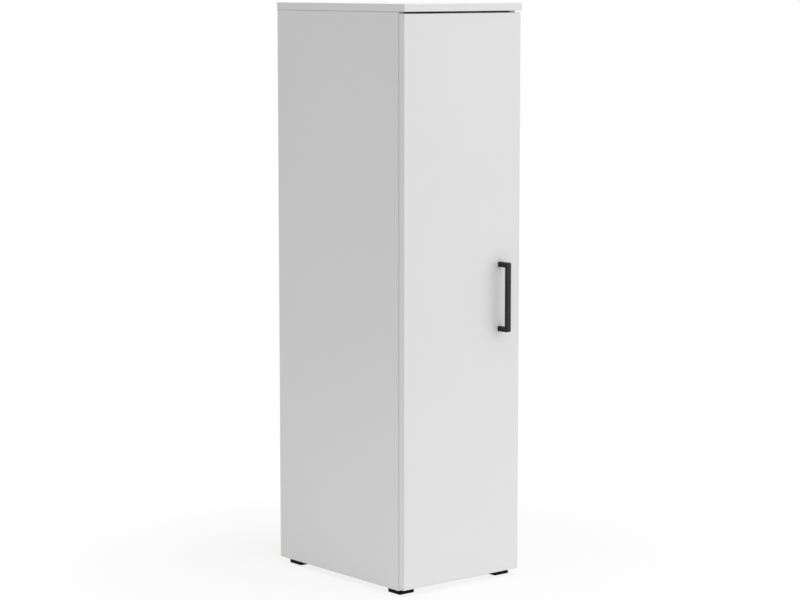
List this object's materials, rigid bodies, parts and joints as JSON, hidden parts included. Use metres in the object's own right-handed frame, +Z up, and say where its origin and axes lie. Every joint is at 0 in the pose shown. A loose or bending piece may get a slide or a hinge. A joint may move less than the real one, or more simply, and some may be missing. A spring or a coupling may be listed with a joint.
{
  "type": "storage cupboard",
  "caption": "Tall narrow free-standing cupboard with a full-height overlay door, bar handle, overhanging top board, inner shelves and low square feet.",
  "frame": {"origin": "on the floor, in the middle of the overall outline including the handle", "axes": "+Z up, -Y out of the door's front, +X to the right seen from the front"},
  "size_m": [0.3, 0.4244, 1.145],
  "materials": {
    "white_board": "white melamine-faced chipboard, satin",
    "hardboard": "white-lacquered thin hardboard",
    "black_plastic": "moulded, fine grain",
    "black_metal": "black powder coat, satin",
    "hinge_steel": "nickel-plated pressed steel",
    "screw_steel": "zinc-plated steel",
    "zinc": "zinc die casting",
    "beech": "fluted beech, raw",
    "bumper": "clear soft silicone"
  },
  "bodies": {
    "carcass": {"side_left": "white_board", "side_right": "white_board", "top_panel": "white_board", "bottom_panel": "white_board", "back_panel": "hardboard", "back_screws": "screw_steel", "shelf_lower": "white_board", "shelf_upper": "white_board", "shelf_pins_lower": "screw_steel", "shelf_pins_upper": "screw_steel", "foot_front_left": "black_plastic", "foot_front_right": "black_plastic", "foot_back_left": "black_plastic", "foot_back_right": "black_plastic", "foot_screws": "screw_steel", "cam_locks": "zinc", "cam_bolts": "screw_steel", "dowels": "beech", "hinge_plate_low": "hinge_steel", "hinge_plate_middle": "hinge_steel", "hinge_plate_high": "hinge_steel", "hinge_arm_low": "hinge_steel", "hinge_arm_middle": "hinge_steel", "hinge_arm_high": "hinge_steel", "arm_pivots": "screw_steel", "plate_screws": "screw_steel", "arm_screws": "screw_steel"},
    "hinge_links": {"hinge_link_low": "hinge_steel", "hinge_link_middle": "hinge_steel", "hinge_link_high": "hinge_steel"},
    "door": {"door_panel": "white_board", "handle": "black_metal", "handle_screws": "screw_steel", "door_bumpers": "bumper", "hinge_cup_low": "hinge_steel", "hinge_cup_middle": "hinge_steel", "hinge_cup_high": "hinge_steel", "cup_pivots": "screw_steel", "cup_screws": "screw_steel"}
  },
  "joints": [
    {"name": "link_turn", "type": "hinge", "parent": "carcass", "child": "hinge_links", "pos_m": [-0.1215, -0.17355, 0.5697], "axis": [0, 0, 1], "range_deg": [0, 60]},
    {"name": "door_swing", "type": "hinge", "parent": "hinge_links", "child": "door", "pos_m": [-0.1382, -0.17355, 0.5697], "axis": [0, 0, -1], "range_deg": [0, 160]}
  ],
  "couplings": [
    {"joint": "link_turn", "follows": "door_swing", "ratio": 0.375}
  ]
}
